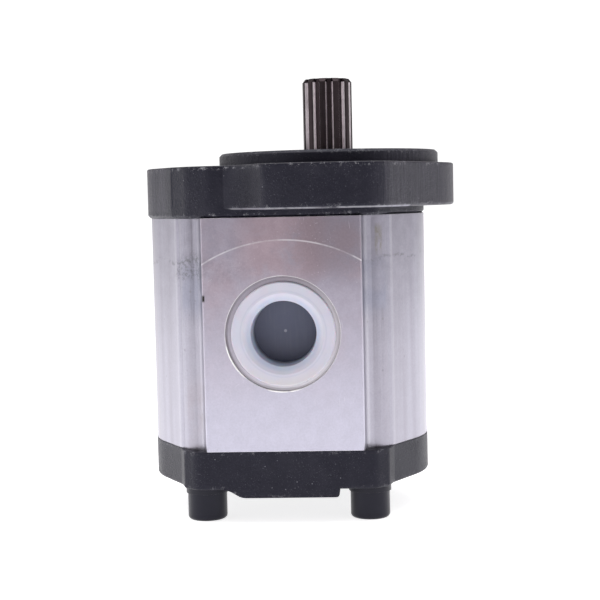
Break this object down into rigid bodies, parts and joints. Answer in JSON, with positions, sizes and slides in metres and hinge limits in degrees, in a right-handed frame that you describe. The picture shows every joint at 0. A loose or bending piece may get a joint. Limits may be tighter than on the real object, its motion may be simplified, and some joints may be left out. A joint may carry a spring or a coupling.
{
  "type": "hydraulic gear pump",
  "caption": "External gear pump with an aluminium body between two cast covers, a splined drive shaft, a round pilot on a two-ear flange and plugged side ports.",
  "frame": {"origin": "on the drive shaft's axis, in the plane of the mounting face", "axes": "+Z out along the drive shaft, +X from the driven gear to the drive gear, the ports face -Y and +Y"},
  "size_m": [0.1159, 0.13, 0.1603],
  "materials": {
    "cast_cover": "black phosphated or painted casting, satin",
    "body": "extruded sides, machined port bosses, satin",
    "shaft_steel": "case-hardened and blackened, oiled",
    "bearing_block": "die cast and machined",
    "bush": "sintered bronze lining",
    "seal_rubber": "moulded nitrile rubber",
    "backup_plastic": "moulded nylon",
    "seal_case": "rubber-coated pressing",
    "spring_steel": "bright wire",
    "ring_steel": "phosphated spring steel",
    "screw_steel": "black oxide, oiled",
    "washer_steel": "black oxide",
    "dowel_steel": "ground",
    "plug_plastic": "milky low-density polyethylene"
  },
  "bodies": {
    "housing": {"front_cover": "cast_cover", "pump_body": "body", "rear_cover": "cast_cover", "front_bearing_block": "bearing_block", "rear_bearing_block": "bearing_block", "front_drive_bush": "bush", "front_driven_bush": "bush", "rear_drive_bush": "bush", "rear_driven_bush": "bush", "front_body_seal": "seal_rubber", "rear_body_seal": "seal_rubber", "front_pressure_seal": "seal_rubber", "rear_pressure_seal": "seal_rubber", "front_backup_ring": "backup_plastic", "rear_backup_ring": "backup_plastic", "shaft_seal_case": "seal_case", "shaft_seal_lip": "seal_rubber", "shaft_seal_spring": "spring_steel", "retaining_ring": "ring_steel", "cap_screws": "screw_steel", "lock_washers": "washer_steel", "front_dowels": "dowel_steel", "rear_dowels": "dowel_steel"},
    "drive_gear": {"drive_gear_shaft": "shaft_steel"},
    "driven_gear": {"driven_gear_shaft": "shaft_steel"},
    "inlet_plug": {"inlet_plug": "plug_plastic"},
    "outlet_plug": {"outlet_plug": "plug_plastic"}
  },
  "joints": [
    {"name": "drive_spin", "type": "hinge", "parent": "housing", "child": "drive_gear", "pos_m": [0, 0, -0.06], "axis": [0, 0, 1], "continuous": true},
    {"name": "driven_spin", "type": "hinge", "parent": "housing", "child": "driven_gear", "pos_m": [-0.032, 0, -0.06], "axis": [0, 0, 1], "continuous": true},
    {"name": "inlet_plug_pull", "type": "slide", "parent": "housing", "child": "inlet_plug", "axis": [0, -1, 0], "range_m": [0, 0.05]},
    {"name": "outlet_plug_pull", "type": "slide", "parent": "housing", "child": "outlet_plug", "axis": [0, 1, 0], "range_m": [0, 0.05]}
  ],
  "couplings": [
    {"joint": "driven_spin", "follows": "drive_spin", "ratio": -1}
  ]
}
